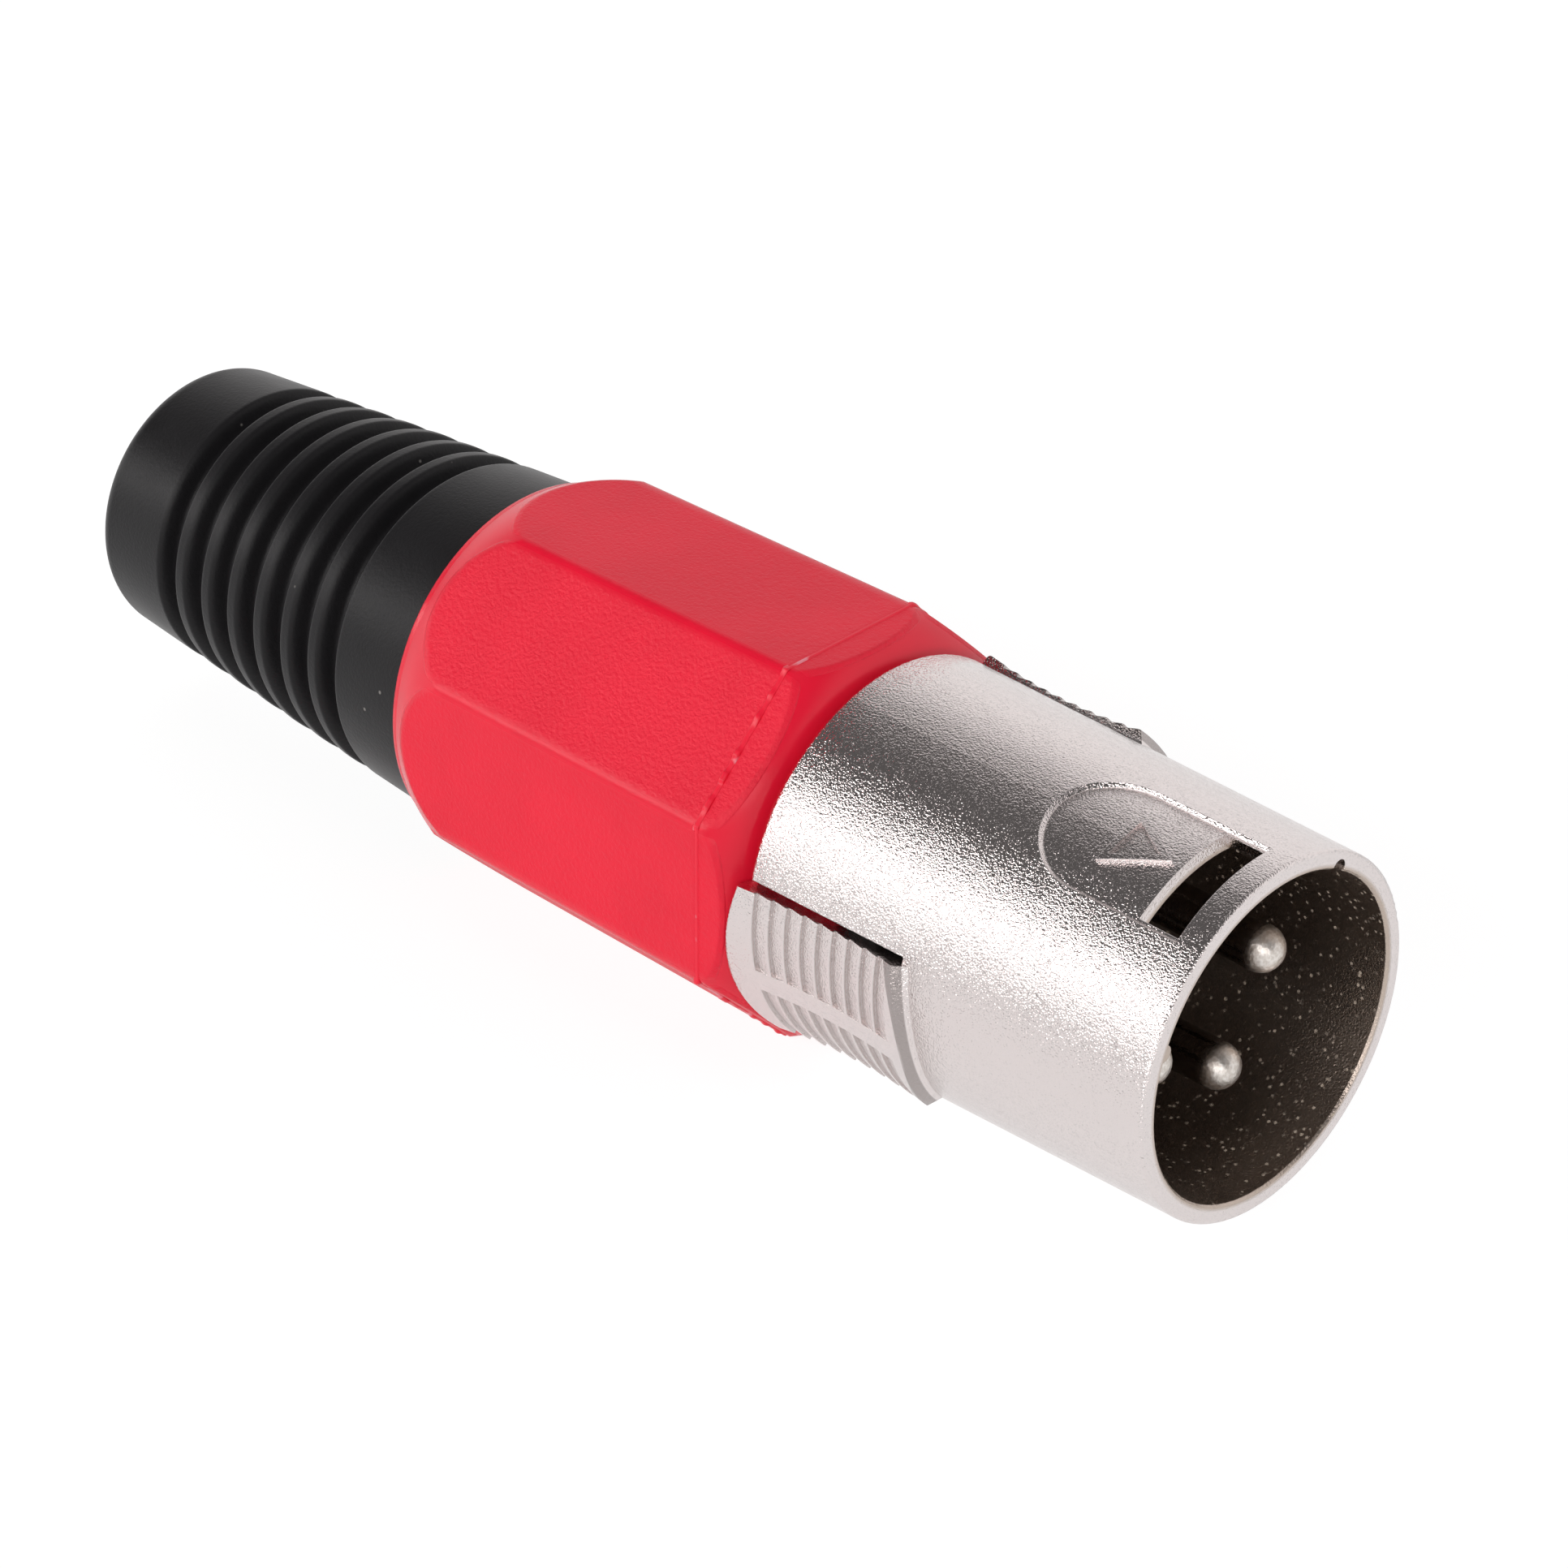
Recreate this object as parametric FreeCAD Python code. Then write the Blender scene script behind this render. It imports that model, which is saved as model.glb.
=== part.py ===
"""A three-pin microphone plug for a cable: shell, contact carrier, clamp, housing and boot.

Millimetres. The centre of the mouth is the origin, +X points out of the mouth and +Z is up.
A depth is a distance behind the mouth, so a depth of 10 is at x = -10.
An angle is measured about X, from +Y towards +Z.
"""
import FreeCAD, Part
import math
import os

# Shell, a die-cast tube
SHELL_LENGTH = 24.6
MOUTH_RADIUS = 9.5
SHELL_DRAFT = 0.48
SHELL_WALL = 1.01
REAR_WALL_SHARE = 0.1084
SEAT_FROM_REAR = 7.5
RIM_ROUND = 0.2
RIM_CHAMFER = 0.12
REAR_ROUND = 0.25
WINDOW_ANGLE = 106.8

# Window, recess and arrow behind the mouth
WINDOW_FRONT = 1.45
WINDOW_LENGTH = 2.45
WINDOW_HALF_WIDTH = 3.15
RECESS_MARGIN = 0.15
RECESS_CENTRE = 8.0
RECESS_DEPTH = 0.24
RECESS_CHAMFER = 0.2
ARROW_TIP = 4.4
ARROW_LENGTH = 3.2
ARROW_HALF_WIDTH = 1.75
ARROW_LINE = 0.34
ARROW_HEIGHT = 0.2

# Keying marks in the bore, angles counted from the window
NOTCH_RADIUS = 0.45
NOTCH_RISE = 0.12
NOTCH_ANGLE = -45.0
NOTCH_FROM_SEAT = 3.1
KEY_RADIUS = 0.45
KEY_ANGLE = 52.5

# Grip tongues at the two sides of the shell, radii counted from the mouth's
TONGUE_ANGLES = (90.0, -90.0)
TONGUE_HALF_ANGLE = 30.0
SLIT_WIDTH = 0.35
SLIT_LENGTH = 9.87
STEP_LENGTH = 0.4
STEP_SET_BACK = 0.83
STEP_PLAN_RADIUS = 10.0
CREST_RISE = 1.03
DISH_FROM_REAR = 4.8
DISH_RISE = 0.72
TONGUE_OVERHANG = 0.95
TONGUE_REAR_RISE = 1.25
TONGUE_END_ROUND = 0.2
TONGUE_PLAN_RADIUS = 18.0
TONGUE_WALL = 0.85
TONGUE_ROOT = 0.6
TOOTH_COUNT = 9
TOOTH_SET_BACK = 1.57
TOOTH_PITCH = 0.98
TOOTH_RAMP_SHARE = 0.895
TOOTH_DROP = 0.17
TOOTH_RUN_OUT = 0.012
TOOTH_GAP_ANGLE = 3.7

# Contact carrier
CARRIER_STEP = 1.6
CARRIER_FLANGE = 2.0
CARRIER_CLEARANCE = 0.08
FLANGE_CLEARANCE = 0.06
SKIRT_LENGTH = 2.5
SKIRT_WALL_SHARE = 0.0632
KEY_CLEARANCE = 0.12

# Contact pins
PIN_RADIUS = 1.2
PIN_CIRCLE_SHARE = 0.4505
PIN_TIP_DEPTH = 3.0
PIN_ANGLES = (-90.0, 90.0, 180.0)
SHANK_RADIUS = 1.4
COLLAR_RADIUS = 1.7
COLLAR_LENGTH = 1.0
CUP_RADIUS = 1.5
CUP_LENGTH = 5.6
CUP_WALL = 0.45
CUP_BORE_DEPTH = 4.0
CUP_OPENING = 3.0

# Ground contact, a bent strip
STRIP_WIDTH = 2.4
STRIP_THICKNESS = 0.35
STRIP_INNER_RADIUS = 1.8
STRIP_FINGER = 1.5
LUG_RADIUS = 3.4
LUG_LENGTH = 4.2
LUG_HOLE_RADIUS = 0.6

# Housing, octagonal outside
FACE_GAP = 0.1
PARTING_LENGTH = 2.62
PARTING_MARGIN = 1.6
PARTING_STEP = 0.05
EDGE_ROUND = 0.6
HOUSING_LENGTH = 25.45
REAR_DRAFT = 0.22
FRONT_DRAFT = 0.1
LIP_CLEARANCE = 0.17
LIP_SET_BACK = 0.3
NOSE_LENGTH = 0.28
NOSE_DROP = 0.12
NOSE_BULGE = 0.31
DOME_LENGTH = 7.15
DOME_FALL = 1.56
DOME_BULGE = 0.44
REAR_LIP_LENGTH = 0.55
REAR_LIP_BULGE = 0.14
NECK_CLEARANCE = 0.1
NECK_WALL_SHARE = 0.1211
NECK_LENGTH = 5.0
CONE_LENGTH = 8.0
CONE_END_WALL = 1.15
CONE_END_STEP = 0.3
CABLE_CHANNEL_SHARE = 0.4842
SPIGOT_LENGTH = 12.85
SPIGOT_WALL_SHARE = 0.2
BEAD_SET_BACK = 3.0
BEAD_LENGTH = 1.6
BEAD_HEIGHT = 0.45
SPIGOT_CHAMFER = 0.5

# Clamp chuck inside the housing
CHUCK_FACE_CLEARANCE = 0.15
CHUCK_TUBE_CLEARANCE = 0.1
CHUCK_WALL_SHARE = 0.0632
SHOULDER_SET_BACK = 2.3
SHOULDER_CLEARANCE = 0.15
CHUCK_END_CLEARANCE = 0.6
CONE_CLEARANCE = 0.15
THROAT_LENGTH = 4.0
JAW_LENGTH = 8.4
JAW_SHARE = 0.3684
JAW_RIDGES = 4
JAW_RIDGE_HEIGHT = 0.35
JAW_PITCH_SHARE = 0.226
CHUCK_SLOTS = 4
CHUCK_SLOT_WIDTH = 1.2
CHUCK_SLOT_LENGTH = 16.4
CHUCK_KEY_ANGLES = (45.0, 225.0)
CHUCK_KEY_WIDTH = 2.4
CHUCK_KEY_LENGTH = 2.0

# Rubber boot
BOOT_LENGTH = 26.45
BOOT_STEP = 0.56
BOOT_WAIST_SHARE = 0.448
BOOT_WAIST_FALL = 0.76
BOOT_END_FALL = 1.15
BOOT_ROUND = 1.3
BOOT_FIT = 0.05
REAR_LIP_RISE = 0.08
GROOVE_COUNT = 7
GROOVE_FROM_FRONT = 5.95
GROOVE_FROM_REAR = 6.52
GROOVE_SHARE = 0.408
GROOVE_DEPTH = 1.1
GROOVE_CHAMFER = 0.25
RIB_ROUND_SHARE = 0.15
BOOT_BORE_SHARE = 0.3579
BOOT_TAPER_LENGTH = 5.0

# Radii and walls that are shares of the mouth's radius
REAR_WALL = MOUTH_RADIUS * REAR_WALL_SHARE
SKIRT_WALL = MOUTH_RADIUS * SKIRT_WALL_SHARE
PIN_CIRCLE = MOUTH_RADIUS * PIN_CIRCLE_SHARE
NECK_WALL = MOUTH_RADIUS * NECK_WALL_SHARE
CHUCK_WALL = MOUTH_RADIUS * CHUCK_WALL_SHARE
CABLE_CHANNEL_RADIUS = MOUTH_RADIUS * CABLE_CHANNEL_SHARE
SPIGOT_WALL = MOUTH_RADIUS * SPIGOT_WALL_SHARE
JAW_RADIUS = MOUTH_RADIUS * JAW_SHARE
BOOT_BORE_RADIUS = MOUTH_RADIUS * BOOT_BORE_SHARE

# Radii and depths that follow, from the mouth to the boot's end
SHELL_REAR_RADIUS = MOUTH_RADIUS + SHELL_DRAFT
BORE_RADIUS = MOUTH_RADIUS - SHELL_WALL
REAR_BORE_RADIUS = SHELL_REAR_RADIUS - REAR_WALL
SEAT_DEPTH = SHELL_LENGTH - SEAT_FROM_REAR
SEAT_REAR = SEAT_DEPTH + CARRIER_FLANGE
CARRIER_FACE = SEAT_DEPTH - CARRIER_STEP
SKIRT_END = SEAT_REAR + SKIRT_LENGTH
SLIT_FRONT = SHELL_LENGTH - SLIT_LENGTH
STEP_START = SLIT_FRONT - STEP_SET_BACK
CREST_DEPTH = STEP_START + STEP_LENGTH
CREST_RADIUS = MOUTH_RADIUS + CREST_RISE
DISH_DEPTH = SHELL_LENGTH - DISH_FROM_REAR
DISH_RADIUS = MOUTH_RADIUS + DISH_RISE
TONGUE_END = SHELL_LENGTH + TONGUE_OVERHANG
TONGUE_REAR_RADIUS = MOUTH_RADIUS + TONGUE_REAR_RISE
TONGUE_INNER_RADIUS = DISH_RADIUS - TONGUE_WALL
HOUSING_FRONT = SHELL_LENGTH + FACE_GAP
HOUSING_REAR = HOUSING_FRONT + HOUSING_LENGTH
PARTING_DEPTH = HOUSING_FRONT + PARTING_LENGTH
PARTING_CORNER = SHELL_REAR_RADIUS + PARTING_MARGIN
LIP_DEPTH = HOUSING_FRONT + LIP_SET_BACK
LIP_RADIUS = TONGUE_INNER_RADIUS - LIP_CLEARANCE
NOSE_DEPTH = LIP_DEPTH + NOSE_LENGTH
NOSE_RADIUS = SHELL_REAR_RADIUS - NOSE_DROP
DOME_DEPTH = HOUSING_REAR - DOME_LENGTH
DOME_REAR_RADIUS = PARTING_CORNER - DOME_FALL
NECK_FRONT = HOUSING_FRONT - NECK_LENGTH
NECK_RADIUS = REAR_BORE_RADIUS - NECK_CLEARANCE
CAVITY_RADIUS = NECK_RADIUS - NECK_WALL
CONE_END = HOUSING_REAR - CONE_END_WALL
CONE_START = CONE_END - CONE_LENGTH
CONE_END_RADIUS = CABLE_CHANNEL_RADIUS + CONE_END_STEP
CONE_SLOPE = (CAVITY_RADIUS - CONE_END_RADIUS) / CONE_LENGTH
SPIGOT_END = HOUSING_REAR + SPIGOT_LENGTH
SPIGOT_RADIUS = CABLE_CHANNEL_RADIUS + SPIGOT_WALL
BEAD_DEPTH = SPIGOT_END - BEAD_SET_BACK
SHOULDER_RADIUS = CAVITY_RADIUS - SHOULDER_CLEARANCE
SKIRT_RADIUS = SHOULDER_RADIUS
CHUCK_FRONT = SEAT_REAR + STRIP_THICKNESS + CHUCK_FACE_CLEARANCE
CHUCK_END = CONE_END - CHUCK_END_CLEARANCE
CHUCK_TUBE_RADIUS = SKIRT_RADIUS - SKIRT_WALL - CHUCK_TUBE_CLEARANCE
CHUCK_BORE_RADIUS = CHUCK_TUBE_RADIUS - CHUCK_WALL
CHUCK_SHOULDER = HOUSING_FRONT + SHOULDER_SET_BACK
JAW_START = CHUCK_END - JAW_LENGTH
JAW_PITCH = JAW_LENGTH * JAW_PITCH_SHARE
BOOT_END = HOUSING_REAR + BOOT_LENGTH
BOOT_FRONT_RADIUS = DOME_REAR_RADIUS - BOOT_STEP
BOOT_WAIST_DEPTH = HOUSING_REAR + BOOT_LENGTH * BOOT_WAIST_SHARE
BOOT_WAIST_RADIUS = BOOT_FRONT_RADIUS - BOOT_WAIST_FALL
BOOT_END_RADIUS = BOOT_WAIST_RADIUS - BOOT_END_FALL
REAR_LIP_RADIUS = BOOT_FRONT_RADIUS + REAR_LIP_RISE
GROOVE_PITCH = (BOOT_LENGTH - GROOVE_FROM_FRONT - GROOVE_FROM_REAR) / (GROOVE_COUNT - 1)
GROOVE_WIDTH = GROOVE_PITCH * GROOVE_SHARE
RIB_ROUND = GROOVE_PITCH * RIB_ROUND_SHARE
BOOT_TAPER_END = SPIGOT_END + BOOT_TAPER_LENGTH
WINDOW_TURN = WINDOW_ANGLE - 90.0
RECESS_HALF_WIDTH = WINDOW_HALF_WIDTH + RECESS_MARGIN

# Reach of the cutting tools: past the skin, within measure, beyond the part, and inside the bore
OVERLAP = 0.12
TOUCH = 0.01
FAR = 15.0
INSIDE = 4.0
OCTAGON = 8
# Share of a quarter round's radius that lies outside its middle, on either axis
BEND = 1.0 - math.sqrt(0.5)


def at(depth, radius):
    """Point at a depth and a height above the axis."""
    return FreeCAD.Vector(-depth, 0.0, radius)


def outline(start, *steps):
    """Closed face of (depth, radius) points; a step of two points is an arc through both."""
    edges = []
    here = start
    for step in steps:
        if isinstance(step[0], tuple):
            edges.append(Part.Arc(at(*here), at(*step[0]), at(*step[1])).toShape())
            here = step[1]
        else:
            edges.append(Part.makeLine(at(*here), at(*step)))
            here = step
    edges.append(Part.makeLine(at(*here), at(*start)))
    return Part.Face(Part.Wire(edges))


def spin(face, degrees=360.0):
    """Solid of revolution about the axis."""
    return face.revolve(FreeCAD.Vector(0, 0, 0), FreeCAD.Vector(1, 0, 0), degrees)


def turned(shape, degrees):
    """Copy of a shape turned about the axis."""
    copy = shape.copy()
    copy.rotate(FreeCAD.Vector(0, 0, 0), FreeCAD.Vector(1, 0, 0), degrees)
    return copy


def sector(face, half_angle):
    """Solid of revolution that spans an angle, centred on +Z."""
    return turned(spin(face, 2.0 * half_angle), -half_angle)


def tube(front, rear, outer, inner=0.0):
    """Tube or rod between two depths."""
    return spin(outline((front, inner), (front, outer), (rear, outer), (rear, inner)))


def rod(front, rear, radius, height=0.0):
    """Rod parallel to the axis, at a height above it."""
    base = FreeCAD.Vector(-rear, 0.0, height)
    return Part.makeCylinder(radius, rear - front, base, FreeCAD.Vector(1, 0, 0))


def slab(front, rear, half_width, low, high):
    """Box between two depths and two heights, centred on the axis plane."""
    corner = FreeCAD.Vector(-rear, -half_width, low)
    return Part.makeBox(rear - front, 2.0 * half_width, high - low, corner)


def joined(shapes):
    """One solid from touching shapes."""
    whole = shapes[0].multiFuse(shapes[1:])
    return whole.removeSplitter()


def shell_radius(depth):
    """Outer radius of the drafted shell."""
    return MOUTH_RADIUS + (SHELL_REAR_RADIUS - MOUTH_RADIUS) * depth / SHELL_LENGTH


def shell_core(offset):
    """The shell's outer form, grown or shrunk in radius."""
    return spin(outline((0.0, 0.0), (0.0, MOUTH_RADIUS + offset),
                        (SHELL_LENGTH, SHELL_REAR_RADIUS + offset), (SHELL_LENGTH, 0.0)))


def shell_tube():
    """Drafted tube with a rounded rim and a wider bore behind the carrier's seat."""
    rim = (RIM_ROUND, shell_radius(RIM_ROUND))
    rim_mid = (RIM_ROUND * BEND, MOUTH_RADIUS - RIM_ROUND * BEND)
    rear = (SHELL_LENGTH - REAR_ROUND, shell_radius(SHELL_LENGTH - REAR_ROUND))
    rear_mid = (SHELL_LENGTH - REAR_ROUND * BEND, SHELL_REAR_RADIUS - REAR_ROUND * BEND)
    return spin(outline((0.0, BORE_RADIUS + RIM_CHAMFER), (0.0, MOUTH_RADIUS - RIM_ROUND),
                        (rim_mid, rim), rear,
                        (rear_mid, (SHELL_LENGTH, SHELL_REAR_RADIUS - REAR_ROUND)),
                        (SHELL_LENGTH, REAR_BORE_RADIUS), (SEAT_DEPTH, REAR_BORE_RADIUS),
                        (SEAT_DEPTH, BORE_RADIUS), (RIM_CHAMFER, BORE_RADIUS)))


def recess():
    """Shallow sunk field behind the window, straight at the sides and round at the rear."""
    half = RECESS_HALF_WIDTH
    front_left = FreeCAD.Vector(-WINDOW_FRONT, -half, 0)
    rear_left = FreeCAD.Vector(-RECESS_CENTRE, -half, 0)
    round_end = FreeCAD.Vector(-RECESS_CENTRE - half, 0, 0)
    rear_right = FreeCAD.Vector(-RECESS_CENTRE, half, 0)
    front_right = FreeCAD.Vector(-WINDOW_FRONT, half, 0)
    edges = [Part.makeLine(front_left, rear_left),
             Part.Arc(rear_left, round_end, rear_right).toShape(),
             Part.makeLine(rear_right, front_right),
             Part.makeLine(front_right, front_left)]
    field = Part.Face(Part.Wire(edges)).extrude(FreeCAD.Vector(0, 0, FAR))
    return field.cut(shell_core(-RECESS_DEPTH))


def on_recess_rim(edge):
    """True for an edge where the recess's side wall meets the shell's outside."""
    middle = edge.valueAt((edge.FirstParameter + edge.LastParameter) / 2.0)
    depth = -middle.x
    radius = math.hypot(middle.y, middle.z)
    reach = math.hypot(max(depth - RECESS_CENTRE, 0.0), middle.y)
    outside = middle.z > 0.0 and abs(radius - shell_radius(depth)) < TOUCH
    return outside and depth > WINDOW_FRONT + TOUCH and abs(reach - RECESS_HALF_WIDTH) < TOUCH


def triangle(inset):
    """Triangle that points to the mouth, drawn in by an inset on every side."""
    base = ARROW_TIP + ARROW_LENGTH
    side = math.hypot(ARROW_LENGTH, ARROW_HALF_WIDTH)
    inner_radius = ARROW_LENGTH * ARROW_HALF_WIDTH / (ARROW_HALF_WIDTH + side)
    centre = base - inner_radius
    scale = 1.0 - inset / inner_radius
    corners = ((ARROW_TIP, 0.0), (base, ARROW_HALF_WIDTH), (base, -ARROW_HALF_WIDTH))
    points = [FreeCAD.Vector(-centre - scale * (depth - centre), scale * side_way, 0)
              for depth, side_way in corners]
    face = Part.Face(Part.makePolygon(points + points[:1]))
    return face.extrude(FreeCAD.Vector(0, 0, FAR))


def arrow():
    """Raised outline of the triangle, standing on the recess's floor."""
    line = triangle(0.0).cut(triangle(ARROW_LINE))
    line = line.common(shell_core(ARROW_HEIGHT - RECESS_DEPTH))
    return line.cut(shell_core(-RECESS_DEPTH - ARROW_HEIGHT))


def dish(depth):
    """Radius of the tongue's hollowed outer face, a parabola through its three radii."""
    front, middle, rear = CREST_DEPTH, DISH_DEPTH, TONGUE_END
    a = CREST_RADIUS * (depth - middle) * (depth - rear) / ((front - middle) * (front - rear))
    b = DISH_RADIUS * (depth - front) * (depth - rear) / ((middle - front) * (middle - rear))
    c = TONGUE_REAR_RADIUS * (depth - front) * (depth - middle) / ((rear - front) * (rear - middle))
    return a + b + c


def tongue_profile():
    """Section of a tongue: hollowed face, and an end that clears the housing's nose."""
    rear = TONGUE_END + OVERLAP
    tip = nose_radius(rear) + LIP_CLEARANCE
    return outline((STEP_START, REAR_BORE_RADIUS), (STEP_START, dish(STEP_START)),
                   ((DISH_DEPTH, DISH_RADIUS), (rear, dish(rear))),
                   (rear, tip),
                   (NOSE_DEPTH - LIP_CLEARANCE, NOSE_RADIUS + OVERLAP),
                   (LIP_DEPTH - LIP_CLEARANCE, TONGUE_INNER_RADIUS),
                   (SLIT_FRONT + TONGUE_ROOT, TONGUE_INNER_RADIUS),
                   (SLIT_FRONT, REAR_BORE_RADIUS))


def step_front():
    """Cone about an upright axis that gives the step its steep, bowed front."""
    slope = STEP_LENGTH / (CREST_RADIUS - shell_radius(STEP_START))
    low = shell_radius(STEP_START) - INSIDE
    foot = STEP_PLAN_RADIUS + INSIDE * slope
    top = STEP_PLAN_RADIUS - INSIDE * slope
    centre = FreeCAD.Vector(-STEP_START - STEP_PLAN_RADIUS, 0, low)
    return Part.makeCone(foot, top, 2.0 * INSIDE, centre, FreeCAD.Vector(0, 0, 1))


def tongue_end(body):
    """Round the tongue's end off as seen from above, and break its outer edge."""
    axis_foot = FreeCAD.Vector(TONGUE_PLAN_RADIUS - TONGUE_END, 0, 0)
    body = body.common(Part.makeCylinder(TONGUE_PLAN_RADIUS, FAR, axis_foot, FreeCAD.Vector(0, 0, 1)))
    outer = [edge for edge in body.Edges if on_end_edge(edge)]
    return body.makeFillet(TONGUE_END_ROUND, outer)


def on_end_edge(edge):
    """True for the long outer edge of the tongue's rounded end."""
    middle = edge.valueAt((edge.FirstParameter + edge.LastParameter) / 2.0)
    at_end = abs(middle.x + TONGUE_END) < OVERLAP
    return at_end and abs(middle.z - TONGUE_REAR_RADIUS) < OVERLAP and edge.Length > TONGUE_WALL


def tooth(number, half_angle):
    """Cut in front of one saw-tooth, whose steep side faces the mouth, on both halves of a tongue."""
    rear = CREST_DEPTH + TOOTH_SET_BACK + number * TOOTH_PITCH
    depth = rear - TOOTH_PITCH * TOOTH_RAMP_SHARE
    face = outline((depth, dish(depth) + TOOTH_RUN_OUT), (rear, dish(rear) - TOOTH_DROP),
                   (rear, FAR), (depth, FAR))
    half = spin(face, half_angle - TOOTH_GAP_ANGLE)
    return [turned(half, TOOTH_GAP_ANGLE), turned(half, -half_angle)]


def tongue():
    """One grip tongue with its step and teeth, centred on +Z."""
    slit_angle = math.degrees(SLIT_WIDTH / TONGUE_REAR_RADIUS)
    body = sector(tongue_profile(), TONGUE_HALF_ANGLE - slit_angle).common(step_front())
    body = tongue_end(body)
    cuts = []
    for number in range(TOOTH_COUNT):
        cuts += tooth(number, TONGUE_HALF_ANGLE)
    return body.cut(cuts)


def tongue_opening():
    """Gap in the shell's wall that a tongue fills, with a slit at each side."""
    face = outline((SLIT_FRONT, INSIDE), (SLIT_FRONT, FAR), (TONGUE_END, FAR), (TONGUE_END, INSIDE))
    return sector(face, TONGUE_HALF_ANGLE)


def make_shell():
    """Die-cast shell, with the window on +Z until it is turned to its place."""
    window = slab(WINDOW_FRONT, WINDOW_FRONT + WINDOW_LENGTH, WINDOW_HALF_WIDTH, INSIDE, FAR)
    notch = turned(rod(-OVERLAP, SEAT_DEPTH - NOTCH_FROM_SEAT, NOTCH_RADIUS, BORE_RADIUS + NOTCH_RISE),
                   NOTCH_ANGLE)
    key = turned(rod(OVERLAP, SEAT_DEPTH, KEY_RADIUS, BORE_RADIUS), KEY_ANGLE)
    gaps = [turned(tongue_opening(), angle) for angle in TONGUE_ANGLES]
    body = shell_tube().cut(gaps).cut([window, recess(), notch])
    body = body.makeChamfer(RECESS_CHAMFER, [edge for edge in body.Edges if on_recess_rim(edge)])
    tongues = [turned(tongue(), angle) for angle in TONGUE_ANGLES]
    whole = joined([body, key.common(shell_core(-OVERLAP)), arrow()] + tongues)
    return turned(whole, WINDOW_TURN)


def pin_places(shape):
    """Copies of a shape at the three contact places, from one that stands on +Z."""
    return [turned(shape, WINDOW_TURN + angle) for angle in PIN_ANGLES]


def make_pins():
    """Three turned contacts: round tip, shaft, moulded-in shank, collar and open solder cup."""
    tip = PIN_TIP_DEPTH + PIN_RADIUS
    collar = SEAT_REAR - COLLAR_LENGTH
    end = SEAT_REAR + CUP_LENGTH
    shaft = rod(tip, collar, PIN_RADIUS, PIN_CIRCLE)
    ball = Part.makeSphere(PIN_RADIUS, at(tip, PIN_CIRCLE))
    shank = rod(CARRIER_FACE, collar, SHANK_RADIUS, PIN_CIRCLE)
    cup = rod(collar, end, CUP_RADIUS, PIN_CIRCLE)
    ring = rod(collar, SEAT_REAR, COLLAR_RADIUS, PIN_CIRCLE)
    hollow = rod(end - CUP_BORE_DEPTH, end, CUP_RADIUS - CUP_WALL, PIN_CIRCLE)
    opening = slab(end - CUP_OPENING, end, CUP_RADIUS, PIN_CIRCLE, PIN_CIRCLE + CUP_RADIUS)
    pin = joined([shaft, ball, shank, cup, ring]).cut([hollow, opening])
    return pin_places(pin)


def skirt_slot(half_width):
    """Cut through the carrier's skirt, on +Z."""
    return slab(SEAT_REAR, SKIRT_END, half_width, CHUCK_TUBE_RADIUS, SKIRT_RADIUS + OVERLAP)


def make_carrier():
    """Moulded carrier that seats behind the shell's shoulder and holds the contacts."""
    front = rod(CARRIER_FACE, SEAT_REAR, BORE_RADIUS - CARRIER_CLEARANCE)
    flange = rod(SEAT_DEPTH, SEAT_REAR, REAR_BORE_RADIUS - FLANGE_CLEARANCE)
    skirt = tube(SEAT_REAR, SKIRT_END, SKIRT_RADIUS, SKIRT_RADIUS - SKIRT_WALL)
    strip_half = STRIP_WIDTH / 2.0 + KEY_CLEARANCE
    edge_slot = slab(SEAT_REAR - STRIP_FINGER, SEAT_REAR, strip_half,
                     REAR_BORE_RADIUS - STRIP_THICKNESS - FLANGE_CLEARANCE, FAR)
    key_slot = rod(CARRIER_FACE, SEAT_DEPTH, KEY_RADIUS + KEY_CLEARANCE, BORE_RADIUS)
    cuts = [turned(skirt_slot(CHUCK_KEY_WIDTH / 2.0 + KEY_CLEARANCE), WINDOW_TURN + angle)
            for angle in CHUCK_KEY_ANGLES]
    cuts += [turned(skirt_slot(strip_half), WINDOW_TURN), turned(edge_slot, WINDOW_TURN),
             turned(key_slot, WINDOW_TURN + KEY_ANGLE)]
    cuts += pin_places(rod(CARRIER_FACE, SEAT_REAR, SHANK_RADIUS, PIN_CIRCLE))
    cuts += pin_places(rod(SEAT_REAR - COLLAR_LENGTH, SEAT_REAR, COLLAR_RADIUS, PIN_CIRCLE))
    return joined([front, flange, skirt]).cut(cuts)


def make_ground_contact():
    """Bent strip from the shell's bore, over the carrier's rear face, to a solder lug."""
    outer = REAR_BORE_RADIUS - FLANGE_CLEARANCE / 2.0
    half = STRIP_WIDTH / 2.0
    rear = SEAT_REAR + STRIP_THICKNESS
    finger = slab(SEAT_REAR - STRIP_FINGER, rear, half, outer - STRIP_THICKNESS, FAR)
    face = slab(SEAT_REAR, rear, half, STRIP_INNER_RADIUS, FAR)
    lug = slab(SEAT_REAR, SEAT_REAR + LUG_LENGTH, half, LUG_RADIUS, LUG_RADIUS + STRIP_THICKNESS)
    hole = Part.makeCylinder(LUG_HOLE_RADIUS, FAR, at(SEAT_REAR + LUG_LENGTH - half, 0.0))
    strip = joined([finger, face, lug]).common(rod(0.0, SKIRT_END + FAR, outer))
    return turned(strip.cut(hole), WINDOW_TURN)


def octagon(depth, corner_radius):
    """Octagonal wire with a flat on top."""
    points = []
    for corner in range(OCTAGON):
        angle = math.radians((corner + 0.5) * 360.0 / OCTAGON)
        points.append(FreeCAD.Vector(-depth, corner_radius * math.cos(angle),
                                     corner_radius * math.sin(angle)))
    return Part.makePolygon(points + points[:1])


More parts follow.
